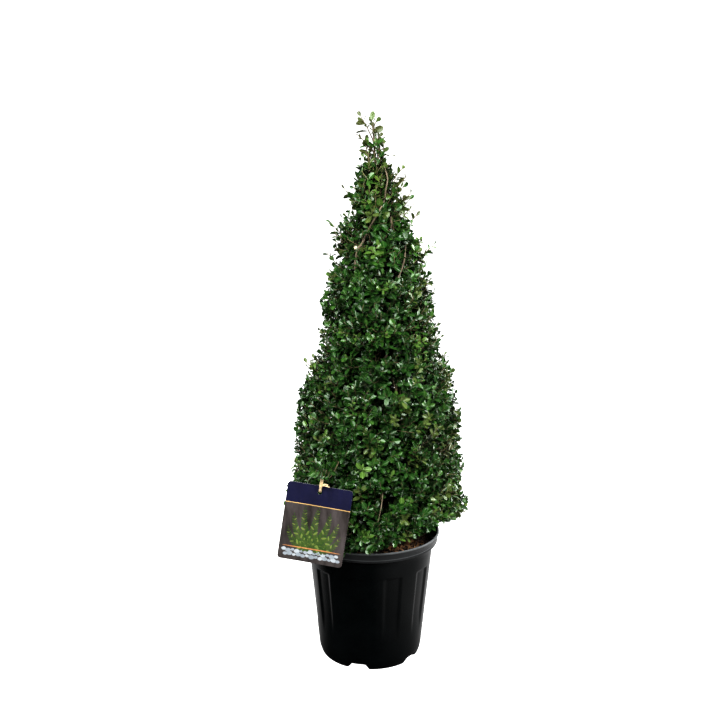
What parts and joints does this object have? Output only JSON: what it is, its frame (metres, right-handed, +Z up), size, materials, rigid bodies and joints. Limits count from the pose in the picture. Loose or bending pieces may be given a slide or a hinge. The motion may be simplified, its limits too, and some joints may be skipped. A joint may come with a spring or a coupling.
{
  "type": "potted japanese holly cone topiary",
  "caption": "Small-leaved evergreen shrub clipped to a tall cone with an open leader, growing in a fluted black nursery pot of potting soil, with a plain hang tag tied to a twig.",
  "frame": {"origin": "centre of the pot's underside, on the surface that it stands on", "axes": "+Z up along the pot's axis, -Y towards the front, where the tag hangs, +X to the right seen from the front"},
  "size_m": [0.3672, 0.3594, 1.101],
  "materials": {
    "pot": "thin moulded black plastic with a soft gloss",
    "soil": "moist dark potting soil with bark crumbs",
    "bark": "smooth grey-brown bark with fine lenticels",
    "leaves": "small glossy dark green leaves",
    "young_leaves": "fresh yellow-green leaves",
    "card": null,
    "raffia": "dry cream raffia"
  },
  "bodies": {
    "root": {"pot": "pot", "soil": "soil", "trunk": "bark", "bough_01": "bark", "bough_02": "bark", "bough_03": "bark", "bough_04": "bark", "bough_05": "bark", "bough_06": "bark", "bough_07": "bark", "bough_08": "bark", "bough_09": "bark", "bough_10": "bark", "bough_11": "bark", "bough_12": "bark", "foliage_01": "leaves", "foliage_02": "leaves", "foliage_03": "leaves", "foliage_04": "leaves", "foliage_05": "leaves", "foliage_06": "leaves", "foliage_07": "leaves", "foliage_08": "leaves", "foliage_09": "leaves", "foliage_10": "leaves", "foliage_11": "leaves", "foliage_12": "leaves", "leader_spray": "young_leaves", "tag": "card", "tag_tie": "raffia"}
  },
  "joints": []
}
